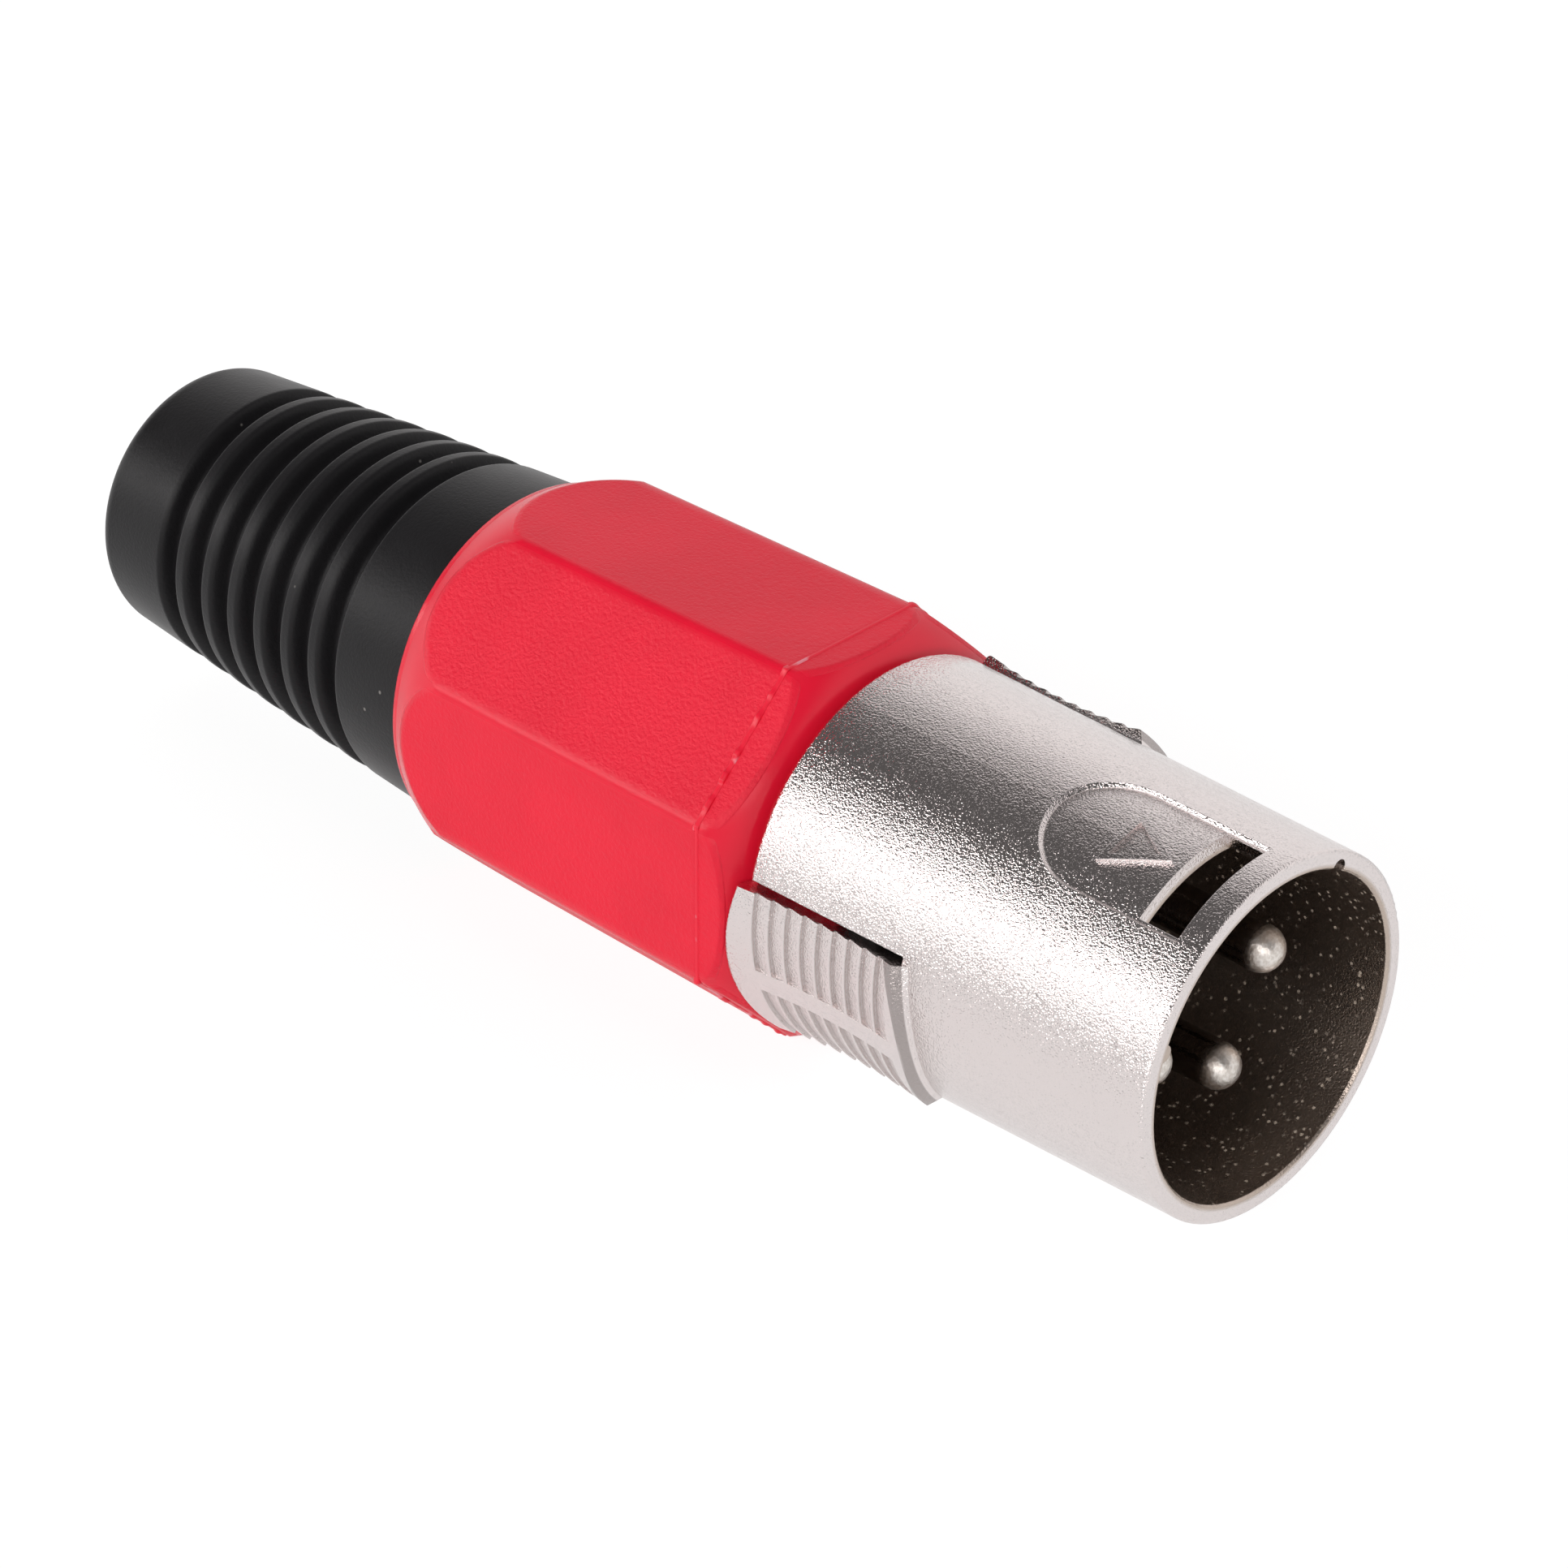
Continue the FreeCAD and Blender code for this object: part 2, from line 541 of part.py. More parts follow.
def octagonal_length(front, front_corner, rear, rear_corner):
    """Drafted octagonal length with its eight long edges rounded."""
    body = Part.makeLoft([octagon(front, front_corner), octagon(rear, rear_corner)], True, True)
    long_edges = [edge for edge in body.Edges if edge.BoundBox.XLength > (rear - front) / 2.0]
    return body.makeFillet(EDGE_ROUND, long_edges)


def housing_prism():
    """Two octagonal lengths that meet at the mould's parting line."""
    corner = PARTING_CORNER - PARTING_STEP
    front = octagonal_length(HOUSING_FRONT, corner - FRONT_DRAFT, PARTING_DEPTH, corner)
    rear = octagonal_length(PARTING_DEPTH, PARTING_CORNER, HOUSING_REAR, PARTING_CORNER - REAR_DRAFT)
    return rear.fuse(front)


def bulged(start, end, bulge):
    """Point beside the middle of a chord, pushed outwards by a bulge."""
    along = (end[0] - start[0], end[1] - start[1])
    length = math.hypot(*along)
    middle = ((start[0] + end[0]) / 2.0, (start[1] + end[1]) / 2.0)
    return (middle[0] - bulge * along[1] / length, middle[1] + bulge * along[0] / length)


def nose_curve():
    """Ends of the housing's bulged nose, from the lip to the parting line."""
    return (NOSE_DEPTH, NOSE_RADIUS), (PARTING_DEPTH, PARTING_CORNER + PARTING_STEP)


def nose_radius(depth):
    """Radius of the nose near a depth, its bulge taken as a parabola."""
    start, end = nose_curve()
    share = (depth - start[0]) / (end[0] - start[0])
    slope = (end[1] - start[1]) / (end[0] - start[0])
    rise = 4.0 * share * (1.0 - share) * NOSE_BULGE * math.hypot(1.0, slope)
    return start[1] + slope * (depth - start[0]) + rise


def housing_envelope():
    """Turned form that rounds the prism off: bulged nose, plain middle and domed rear."""
    nose, shoulder = nose_curve()
    dome = (DOME_DEPTH, PARTING_CORNER + PARTING_STEP)
    dome_end = (HOUSING_REAR - REAR_LIP_LENGTH, DOME_REAR_RADIUS)
    rear = (HOUSING_REAR, REAR_LIP_RADIUS)
    return spin(outline((HOUSING_FRONT, 0.0), (HOUSING_FRONT, LIP_RADIUS), (LIP_DEPTH, LIP_RADIUS),
                        nose, (bulged(nose, shoulder, NOSE_BULGE), shoulder), dome,
                        (bulged(dome, dome_end, DOME_BULGE), dome_end),
                        (bulged(dome_end, rear, REAR_LIP_BULGE), rear), (HOUSING_REAR, 0.0)))


def spigot():
    """Rear tail that the boot is pushed over, with a holding bead."""
    bead = SPIGOT_RADIUS + BEAD_HEIGHT
    return spin(outline((CONE_END, 0.0), (CONE_END, SPIGOT_RADIUS), (BEAD_DEPTH, SPIGOT_RADIUS),
                        (BEAD_DEPTH, bead), (BEAD_DEPTH + BEAD_LENGTH / 2.0, bead),
                        (BEAD_DEPTH + BEAD_LENGTH, SPIGOT_RADIUS),
                        (SPIGOT_END - SPIGOT_CHAMFER, SPIGOT_RADIUS),
                        (SPIGOT_END, SPIGOT_RADIUS - SPIGOT_CHAMFER), (SPIGOT_END, 0.0)))


def housing_cavity():
    """Hollow for the chuck, its closing cone and the cable channel."""
    return spin(outline((NECK_FRONT, 0.0), (NECK_FRONT, CAVITY_RADIUS), (CONE_START, CAVITY_RADIUS),
                        (CONE_END, CONE_END_RADIUS), (CONE_END, CABLE_CHANNEL_RADIUS),
                        (SPIGOT_END, CABLE_CHANNEL_RADIUS), (SPIGOT_END, 0.0)))


def make_housing():
    """Octagonal housing with its screw neck in front and the boot's spigot behind."""
    body = housing_prism().common(housing_envelope())
    neck = rod(NECK_FRONT, HOUSING_FRONT + FACE_GAP, NECK_RADIUS)
    return joined([body, neck, spigot()]).cut(housing_cavity())


def cone_radius(depth):
    """Radius of the chuck's outside where the housing's cone closes on it."""
    gap = CONE_CLEARANCE * math.hypot(1.0, CONE_SLOPE)
    return CAVITY_RADIUS - gap - CONE_SLOPE * (depth - CONE_START)


def jaw_ridge(number):
    """One gripping ridge inside the jaws."""
    depth = JAW_START + (number + 0.5) * JAW_PITCH
    base = JAW_RADIUS + OVERLAP
    return spin(outline((depth - JAW_RIDGE_HEIGHT, base), (depth, JAW_RADIUS - JAW_RIDGE_HEIGHT),
                        (depth + JAW_RIDGE_HEIGHT, base)))


def make_chuck():
    """Clamp chuck: guide tube with two keys, shoulder, and four tapered jaws."""
    cone_front = CONE_START + (cone_radius(CONE_START) - SHOULDER_RADIUS) / CONE_SLOPE
    body = spin(outline((CHUCK_FRONT, CHUCK_BORE_RADIUS), (CHUCK_FRONT, CHUCK_TUBE_RADIUS),
                        (CHUCK_SHOULDER, CHUCK_TUBE_RADIUS), (CHUCK_SHOULDER, SHOULDER_RADIUS),
                        (cone_front, SHOULDER_RADIUS), (CHUCK_END, cone_radius(CHUCK_END)),
                        (CHUCK_END, JAW_RADIUS), (JAW_START, JAW_RADIUS),
                        (JAW_START - THROAT_LENGTH, CHUCK_BORE_RADIUS)))
    key = slab(CHUCK_FRONT, CHUCK_FRONT + CHUCK_KEY_LENGTH, CHUCK_KEY_WIDTH / 2.0,
               CHUCK_TUBE_RADIUS - CHUCK_WALL / 2.0, SKIRT_RADIUS - KEY_CLEARANCE)
    parts = [body] + [turned(key, WINDOW_TURN + angle) for angle in CHUCK_KEY_ANGLES]
    parts += [jaw_ridge(number) for number in range(JAW_RIDGES)]
    slot = slab(CHUCK_END - CHUCK_SLOT_LENGTH, CHUCK_END, CHUCK_SLOT_WIDTH / 2.0, 0.0, FAR)
    step = 360.0 / CHUCK_SLOTS
    return joined(parts).cut([turned(slot, WINDOW_TURN + n * step) for n in range(CHUCK_SLOTS)])


def boot_radius(depth):
    """Outer radius of the boot, two straight tapers."""
    if depth < BOOT_WAIST_DEPTH:
        share = (depth - HOUSING_REAR) / (BOOT_WAIST_DEPTH - HOUSING_REAR)
        return BOOT_FRONT_RADIUS + share * (BOOT_WAIST_RADIUS - BOOT_FRONT_RADIUS)
    share = (depth - BOOT_WAIST_DEPTH) / (BOOT_END - BOOT_WAIST_DEPTH)
    return BOOT_WAIST_RADIUS + share * (BOOT_END_RADIUS - BOOT_WAIST_RADIUS)


def boot_groove(number):
    """Profile steps across one groove with a flat bottom, between rounded rib edges."""
    centre = HOUSING_REAR + GROOVE_FROM_FRONT + number * GROOVE_PITCH
    start, end = centre - GROOVE_WIDTH / 2.0, centre + GROOVE_WIDTH / 2.0
    top = boot_radius(centre)
    bottom = top - GROOVE_DEPTH
    inset = RIB_ROUND * BEND
    return [(start - RIB_ROUND, boot_radius(start - RIB_ROUND)),
            ((start - inset, top - inset), (start, top - RIB_ROUND)),
            (start, bottom + GROOVE_CHAMFER), (start + GROOVE_CHAMFER, bottom),
            (end - GROOVE_CHAMFER, bottom), (end, bottom + GROOVE_CHAMFER),
            (end, top - RIB_ROUND),
            ((end + inset, top - inset), (end + RIB_ROUND, boot_radius(end + RIB_ROUND)))]


def make_boot():
    """Rubber boot: ribbed taper, round end, cable bore and the pocket for the spigot."""
    pocket = SPIGOT_RADIUS + BOOT_FIT
    bead = pocket + BEAD_HEIGHT
    bead_rear = BEAD_DEPTH + BEAD_LENGTH
    inset = BOOT_ROUND * BEND
    steps = [(HOUSING_REAR, BOOT_FRONT_RADIUS)]
    for number in range(GROOVE_COUNT):
        steps += boot_groove(number)
    steps += [(BOOT_END - BOOT_ROUND, boot_radius(BOOT_END - BOOT_ROUND)),
              ((BOOT_END - inset, BOOT_END_RADIUS - inset), (BOOT_END, BOOT_END_RADIUS - BOOT_ROUND)),
              (BOOT_END, BOOT_BORE_RADIUS), (BOOT_TAPER_END, BOOT_BORE_RADIUS),
              (SPIGOT_END, pocket - SPIGOT_CHAMFER), (SPIGOT_END - SPIGOT_CHAMFER, pocket),
              (bead_rear, pocket), (BEAD_DEPTH + BEAD_LENGTH / 2.0, bead),
              (BEAD_DEPTH, bead), (BEAD_DEPTH, pocket)]
    return spin(outline((HOUSING_REAR, pocket), *steps))


def build():
    """All pieces by node name."""
    pieces = {"shell": make_shell(), "contact_carrier": make_carrier(),
              "ground_contact": make_ground_contact(), "housing": make_housing(),
              "chuck": make_chuck(), "boot": make_boot()}
    for number, pin in enumerate(make_pins(), start=1):
        pieces["pin_%d" % number] = pin
    return pieces


def main():
    """Write one STEP file for each piece."""
    os.makedirs("parts", exist_ok=True)
    for name, shape in build().items():
        shape.exportStep("parts/%s.step" % name)
        box = shape.BoundBox
        print(name, "solids", len(shape.Solids), "valid", shape.isValid(), "volume %.1f" % shape.Volume,
              "x %.2f to %.2f" % (box.XMin, box.XMax))


main()
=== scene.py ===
"""Looks of a three-pin microphone plug.

Finishes for its solids, a ribbed boot, mould marks and a pale stage.
"""
import math

import bpy
import numpy as np
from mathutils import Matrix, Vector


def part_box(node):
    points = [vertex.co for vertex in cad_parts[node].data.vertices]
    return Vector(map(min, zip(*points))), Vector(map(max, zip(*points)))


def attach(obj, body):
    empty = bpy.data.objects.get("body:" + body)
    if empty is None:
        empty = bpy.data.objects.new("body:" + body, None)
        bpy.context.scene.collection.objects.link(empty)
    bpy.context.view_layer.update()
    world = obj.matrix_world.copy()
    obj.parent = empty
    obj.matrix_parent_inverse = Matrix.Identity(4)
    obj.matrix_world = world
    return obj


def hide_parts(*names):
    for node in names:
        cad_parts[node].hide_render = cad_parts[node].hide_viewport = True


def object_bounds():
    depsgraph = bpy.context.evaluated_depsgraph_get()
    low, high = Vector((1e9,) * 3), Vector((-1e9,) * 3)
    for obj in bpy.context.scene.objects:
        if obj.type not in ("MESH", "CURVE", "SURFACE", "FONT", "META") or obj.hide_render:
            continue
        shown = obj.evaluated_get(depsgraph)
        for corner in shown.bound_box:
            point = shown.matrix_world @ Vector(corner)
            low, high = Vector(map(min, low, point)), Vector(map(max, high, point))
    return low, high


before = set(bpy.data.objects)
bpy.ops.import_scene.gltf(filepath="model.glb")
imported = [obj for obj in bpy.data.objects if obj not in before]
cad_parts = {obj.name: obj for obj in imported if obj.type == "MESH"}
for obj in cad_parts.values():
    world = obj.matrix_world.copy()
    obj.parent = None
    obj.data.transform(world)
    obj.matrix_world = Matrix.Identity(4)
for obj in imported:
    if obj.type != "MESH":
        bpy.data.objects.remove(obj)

bl_info = {
    "name": "Microphone plug",
    "version": (1, 0, 0),
    "blender": (4, 5, 0),
    "location": "View3D > Sidebar > Plug",
    "description": "Finishes and moulded pieces of a three-pin microphone plug",
    "category": "Object",
}

MM = 0.001
LOW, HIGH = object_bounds()
BOOT_LOW, BOOT_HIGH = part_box("boot")
HOUSING_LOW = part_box("housing")[0]
WHITE = (1.0, 1.0, 1.0, 1.0)
FLATS = 8
FLAT_ANGLE = 2.0 * math.pi / FLATS

# In the pairs below a mask starts at the first value and is full at the second. Radii are from the
# plug's axis, and depths are behind the mouth.

# Shell
BORE_RADII = (8.85 * MM, 8.6 * MM)
RAISED_RADII = (9.98 * MM, 10.06 * MM)
STREAK_STRETCH = 0.04
DUST_COLOUR = (0.60, 0.51, 0.41, 1.0)
# The rows, teeth, step front and far side below place painted shade on the shell: a darker colour
# along each tooth's wall, each step's front and the far tongue's side, standing in for the shade
# and the darker reflections there.
ROW_START = (15.4 * MM, 15.5 * MM)
ROW_END = (24.1 * MM, 24.0 * MM)
ROW_GAP = (0.66 * MM, 0.74 * MM)        # from the middle of the strip between the rows
TOOTH_LINE = (0.04, 0.015)              # distance from a tooth's wall, in shares of the pitch
TOOTH_SHADE = 0.35
STEP_FRONT = (14.34 * MM, 14.24 * MM)
STEP_BOW = 20.0 * MM                    # twice the radius of the step's bowed front
FAR_SIDE = (4.55 * MM, 4.75 * MM)       # from the tongues' middle plane to the far tongue's side
FAR_HALF = (0.0, 1.0 * MM)
FAR_SIDE_SHADE = 0.8

# Contact pins and the mouldings inside
PIN_TIP = (4.7 * MM, 3.8 * MM)
# Painted shade: the pins' shafts behind their tips get this darker colour, for the shade deep in
# the mouth.
PIN_SHAFT_SHADE = (0.40, 0.34, 0.29, 1.0)
PIN_PLATE = ((0.66, 0.61, 0.56, 1.0), (0.86, 0.82, 0.78, 1.0))
TIN = ((0.50, 0.49, 0.47, 1.0), (0.68, 0.67, 0.65, 1.0))
CARRIER_BLACK = ((0.012, 0.010, 0.009, 1.0), (0.026, 0.022, 0.019, 1.0))
CARRIER_SPECKS = (0.30, 0.25, 0.20, 1.0)
CHUCK_WHITE = ((0.66, 0.65, 0.61, 1.0), (0.76, 0.75, 0.72, 1.0))

# Housing
NECK_RADII = (9.0 * MM, 8.9 * MM)
NECK_BACK = (-24.85 * MM, -24.65 * MM)  # along X
THREAD_HEIGHT = 11.0                    # in heights of the grain
GRAIN_EDGE = (-0.05 * MM, 0.02 * MM)    # about the distance at which a flat has its grain
GRAIN_CORNER = (0.485, 0.435)           # place on a flat, from 0 in its middle to 0.5 at its corner
SMOOTH_GRAIN = 0.08                     # share of the grain's height off the flats
CLOUD_SHADE = (0.93, 0.8, 0.88, 1.0)
FLASH_NICK = (0.80, 0.22, 0.27, 1.0)

# Boot
BOOT_DUST = (0.5, 0.48, 0.45, 1.0)
BORE_LENGTH = 8.6 * MM
SPIGOT_RADIUS = 6.55 * MM
# The boot's inside as distances in front of the cable end and radii: a cone, then the seat on the
# housing's spigot with the pocket for its bead.
SEAT = ((13.6 * MM, 6.05 * MM), (14.1 * MM, SPIGOT_RADIUS), (15.0 * MM, SPIGOT_RADIUS),
        (15.8 * MM, 7.0 * MM), (16.6 * MM, 7.0 * MM), (16.6 * MM, SPIGOT_RADIUS))

# Stage. The sky's bands go by how far a direction points to the front, from -1 to 1.
FLOOR_HALF = 2.5
FLOOR_GLOW = 0.90
FLOOR_SOFT = (0.17, 0.17, 0.17, 1.0)
FLOOR_GLOSS = 0.75                      # share of the glow that shows in glossy reflections
HORIZON = (0.0, 0.05)
GAP_FRONT, GAP_BACK = (0.82, 0.70), (-0.85, -0.22)
BOX_TOP, BOX_FOOT = (0.76, 0.83), (0.975, 0.92)
EDGE_TOP = (0.972, 0.988)
SKY_TINT = (1.0, 0.975, 0.97, 1.0)


# Shader sums

class Wire:
    """A node socket in a sum: each operator adds its Math node, and `node` adds any other."""

    def __init__(self, tree, socket):
        self.tree, self.socket = tree, socket

    def node(self, kind, settings=None, values=None):
        """Add a node: its settings come first, then its sockets get values or links."""
        made = self.tree.nodes.new(kind)
        for name, value in (settings or {}).items():
            setattr(made, name, value)
        for name, value in (values or {}).items():
            socket = made.inputs[name]
            if isinstance(value, Wire):
                self.tree.links.new(value.socket, socket)
            else:
                socket.default_value = value
        return Wire(self.tree, made.outputs[0])

    def math(self, operation, *values):
        """Math node of this socket and up to two more values."""
        sockets = dict(enumerate((self, *values)))
        return self.node("ShaderNodeMath", {"operation": operation}, sockets)

    def __add__(self, other):
        return self.math("ADD", other)

    def __sub__(self, other):
        return self.math("SUBTRACT", other)

    def __rsub__(self, other):
        return self.node("ShaderNodeMath", {"operation": "SUBTRACT"}, {0: other, 1: self})

    def __mul__(self, other):
        return self.math("MULTIPLY", other)

    def __truediv__(self, other):
        return self.math("DIVIDE", other)

    def __pow__(self, other):
        return self.math("POWER", other)

    __radd__ = __add__

    def abs(self):
        """Size without its sign."""
        return self.math("ABSOLUTE")

    def step(self, low, high):
        """Smooth step from 0 at `low` to 1 at `high`, which may be the smaller."""
        return self.node("ShaderNodeMapRange", {"interpolation_type": "SMOOTHSTEP"},
                         {"Value": self, "From Min": low, "From Max": high})

    def noise(self, scale, detail=2.0, roughness=0.5):
        """Noise of this vector, `scale` grains to the metre."""
        return self.node("ShaderNodeTexNoise", None,
                         {"Vector": self, "Scale": scale, "Detail": detail, "Roughness": roughness})

    def cells(self, scale):
        """Distance to the nearest cell's point, `scale` cells to the metre."""
        return self.node("ShaderNodeTexVoronoi", None, {"Vector": self, "Scale": scale})

    def stretched(self, along):
        """This vector with its X scaled, for a pattern that is drawn out along the plug."""
        return self.node("ShaderNodeMapping", None, {"Vector": self, "Scale": (along, 1.0, 1.0)})

    def parts(self):
        """X, Y and Z of this vector."""
        made = self.node("ShaderNodeSeparateXYZ", None, {"Vector": self})
        return [Wire(self.tree, socket) for socket in made.socket.node.outputs]

    def mix(self, low, high):
        """Colour between two, with this as the share of the second.

        The Mix node holds sockets for every kind of data, so those of its colours go by number.
        """
        made = self.node("ShaderNodeMix", {"data_type": "RGBA"}, {"Factor": self}).socket.node
        for socket, colour in ((made.inputs[6], low), (made.inputs[7], high)):
            if isinstance(colour, Wire):
                self.tree.links.new(colour.socket, socket)
            else:
                socket.default_value = colour
        return Wire(self.tree, made.outputs[2])

    def bump(self, distance, normal=None):
        """Normal from this height, on top of another normal."""
        values = {"Height": self, "Distance": distance, "Strength": 1.0}
        if normal is not None:
            values["Normal"] = normal
        return self.node("ShaderNodeBump", None, values)


def finish(name, shader_values):
    """Material with one Principled shader; returns it with the wire of Object coordinates."""
    material = bpy.data.materials.new(name)
    material.use_nodes = True
    tree = material.node_tree
    tree.nodes.clear()
    shader = tree.nodes.new("ShaderNodeBsdfPrincipled")
    output = tree.nodes.new("ShaderNodeOutputMaterial")
    tree.links.new(shader.outputs[0], output.inputs[0])
    for socket, value in shader_values.items():
        shader.inputs[socket].default_value = value
    place = tree.nodes.new("ShaderNodeTexCoord")
    return material, shader, Wire(tree, place.outputs["Object"])


def feed(shader, **wires):
    """Link wires to the shader's sockets; an underscore stands for a space."""
    for socket, wire in wires.items():
        wire.tree.links.new(wire.socket, shader.inputs[socket.replace("_", " ")])


def rounded(point, radius):
    """Normal that rounds sharp edges off; more samples than these four cost much time."""
    return point.node("ShaderNodeBevel", {"samples": 4}, {"Radius": radius})


def dress(material, *nodes):
    """Give a finish to solids of the frame."""
    for node in nodes:
        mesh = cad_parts[node].data
        mesh.materials.clear()
        mesh.materials.append(material)


# Surfaces

def surface(name, grid, material, around=True, closed=False):
    """Mesh of a grid of points, with rows along the first axis.

    `around` joins the last column to the first, and `closed` the last row to the first.
    """
    rows, columns = grid.shape[:2]
    index = np.arange(rows * columns).reshape(rows, columns)
    if around:
        index = np.concatenate([index, index[:, :1]], axis=1)
    if closed:
        index = np.concatenate([index, index[:1]], axis=0)
    quads = np.stack([index[:-1, :-1], index[1:, :-1], index[1:, 1:], index[:-1, 1:]], axis=-1)
    mesh = bpy.data.meshes.new(name)
    mesh.from_pydata(grid.reshape(-1, 3), [], quads.reshape(-1, 4))
    mesh.polygons.foreach_set("use_smooth", np.ones(len(mesh.polygons), bool))
    mesh.materials.append(material)
    mesh.update()
    piece = bpy.data.objects.new(name, mesh)
    bpy.context.scene.collection.objects.link(piece)
    return piece


def revolved(depth, radius, steps):
    """Surface of revolution: the profile's depths and radii, turned once about the plug's axis."""
    angle = np.linspace(0.0, 2.0 * math.pi, steps, endpoint=False)
    x = np.repeat(-depth[:, None], steps, axis=1)
    return np.stack([x, radius[:, None] * np.cos(angle), radius[:, None] * np.sin(angle)], axis=-1)


def quarter(start, end, count, outwards=True):
    """Rounded corner from one (depth, radius) point to another, a quarter of an ellipse."""
    share = np.linspace(0.0, math.pi / 2.0, count)
    if outwards:
        a, b = np.sin(share), 1.0 - np.cos(share)
    else:
        a, b = 1.0 - np.cos(share), np.sin(share)
    depth = start[0] + (end[0] - start[0]) * a
    radius = start[1] + (end[1] - start[1]) * b
    return np.stack([depth, radius], axis=1)


# Settings

class PlugShell(bpy.types.PropertyGroup):
    """Nickel shell."""
    colour: bpy.props.FloatVectorProperty(
        name="Nickel", description="Colour of the plated outside", subtype="COLOR", size=4,
        min=0.0, max=1.0, default=(0.77, 0.71, 0.70, 1.0))
    bore_colour: bpy.props.FloatVectorProperty(
        name="Bore", description="Colour of the duller plating in the bore", subtype="COLOR",
        size=4, min=0.0, max=1.0, default=(0.54, 0.455, 0.395, 1.0))
    # Painted shade: the colour that darkens the tooth walls, the steps' fronts and the far tongue's
    # side.
    painted_shade_colour: bpy.props.FloatVectorProperty(
        name="Painted_shade", description="Colour of the dirt by the teeth, the fronts and the far side",
        subtype="COLOR", size=4, min=0.0, max=1.0, default=(0.40, 0.36, 0.35, 1.0))
    tooth_start: bpy.props.FloatProperty(
        name="First tooth", description="Distance of the first tooth's wall behind the mouth",
        unit="LENGTH", default=15.87 * MM)
    tooth_pitch: bpy.props.FloatProperty(
        name="Tooth pitch", description="From tooth to tooth", unit="LENGTH", default=0.98 * MM)
    tongue_angle: bpy.props.FloatProperty(
        name="Tongue angle", description="Angle of the tongues' middle plane about the axis",
        subtype="ANGLE", default=math.radians(16.8))
    grain: bpy.props.FloatProperty(
        name="Grain", description="Size of the satin grain", unit="LENGTH", default=0.12 * MM)
    grain_height: bpy.props.FloatProperty(
        name="Grain height", description="Height of the satin grain", unit="LENGTH",
        default=0.05 * MM)
    edge: bpy.props.FloatProperty(
        name="Edge", description="Radius that the plating leaves on an edge", unit="LENGTH",
        default=0.07 * MM)


class PlugHousing(bpy.types.PropertyGroup):
    """Red housing."""
    colour: bpy.props.FloatVectorProperty(
        name="Red", description="Colour of the plastic", subtype="COLOR", size=4,
        min=0.0, max=1.0, default=(0.80, 0.009, 0.036, 1.0))
    grain: bpy.props.FloatProperty(
        name="Grain", description="Size of the moulded grain", unit="LENGTH", default=0.22 * MM)
    grain_height: bpy.props.FloatProperty(
        name="Grain height", description="Height of the moulded grain", unit="LENGTH",
        default=0.045 * MM)
    edge: bpy.props.FloatProperty(
        name="Edge", description="Radius left on the sharp edges", unit="LENGTH", default=0.32 * MM)
    flat: bpy.props.FloatProperty(
        name="Flat", description="Distance from the axis beyond which a flat has its grain",
        unit="LENGTH", default=10.4 * MM)
    pitch: bpy.props.FloatProperty(
        name="Thread pitch", description="Pitch of the fine thread on the neck", unit="LENGTH",
        default=1.25 * MM)


class PlugBoot(bpy.types.PropertyGroup):
    """Rubber boot."""
    colour: bpy.props.FloatVectorProperty(
        name="Rubber", description="Colour of the rubber", subtype="COLOR", size=4,
        min=0.0, max=1.0, default=(0.0095, 0.0090, 0.0100, 1.0))
    front_radius: bpy.props.FloatProperty(
        name="Front radius", description="Radius beside the housing", unit="LENGTH",
        default=9.46 * MM)
    waist_radius: bpy.props.FloatProperty(
        name="Waist radius", description="Radius where the taper changes", unit="LENGTH",
        default=8.7 * MM)
    waist_share: bpy.props.FloatProperty(
        name="Waist place", description="Place of the waist along the boot", default=0.448)
    end_radius: bpy.props.FloatProperty(
        name="End radius", description="Radius at the cable end", unit="LENGTH", default=7.55 * MM)
    end_round: bpy.props.FloatProperty(
        name="End round", description="Rounding of the cable end", unit="LENGTH", default=1.3 * MM)
    grooves: bpy.props.IntProperty(name="Grooves", description="Number of grooves", default=7)
    first: bpy.props.FloatProperty(
        name="First groove", description="From the housing to the first groove", unit="LENGTH",
        default=5.95 * MM)
    pitch: bpy.props.FloatProperty(
        name="Pitch", description="From groove to groove", unit="LENGTH", default=2.33 * MM)
    width: bpy.props.FloatProperty(
        name="Groove width", description="Width of a groove at half its depth", unit="LENGTH",
        default=1.08 * MM)
    depth: bpy.props.FloatProperty(
        name="Groove depth", description="Depth of a groove", unit="LENGTH", default=1.08 * MM)
    bore: bpy.props.FloatProperty(
        name="Cable bore", description="Radius of the cable bore", unit="LENGTH", default=3.4 * MM)


class PlugMarks(bpy.types.PropertyGroup):
    """Mould marks on the housing."""
    corner: bpy.props.FloatProperty(
        name="Corner", description="Corner radius at the parting line", unit="LENGTH",
        default=11.58 * MM)
    depth: bpy.props.FloatProperty(
        name="Depth", description="Distance of the parting line behind the mouth", unit="LENGTH",
        default=27.32 * MM)
    height: bpy.props.FloatProperty(
        name="Height", description="Height of the highest flash", unit="LENGTH", default=0.12 * MM)
    width: bpy.props.FloatProperty(
        name="Width", description="Width of the flash", unit="LENGTH", default=0.42 * MM)
    inset: bpy.props.FloatProperty(
        name="Inset", description="Least distance inside the solids' box", unit="LENGTH",
        default=0.003 * MM)


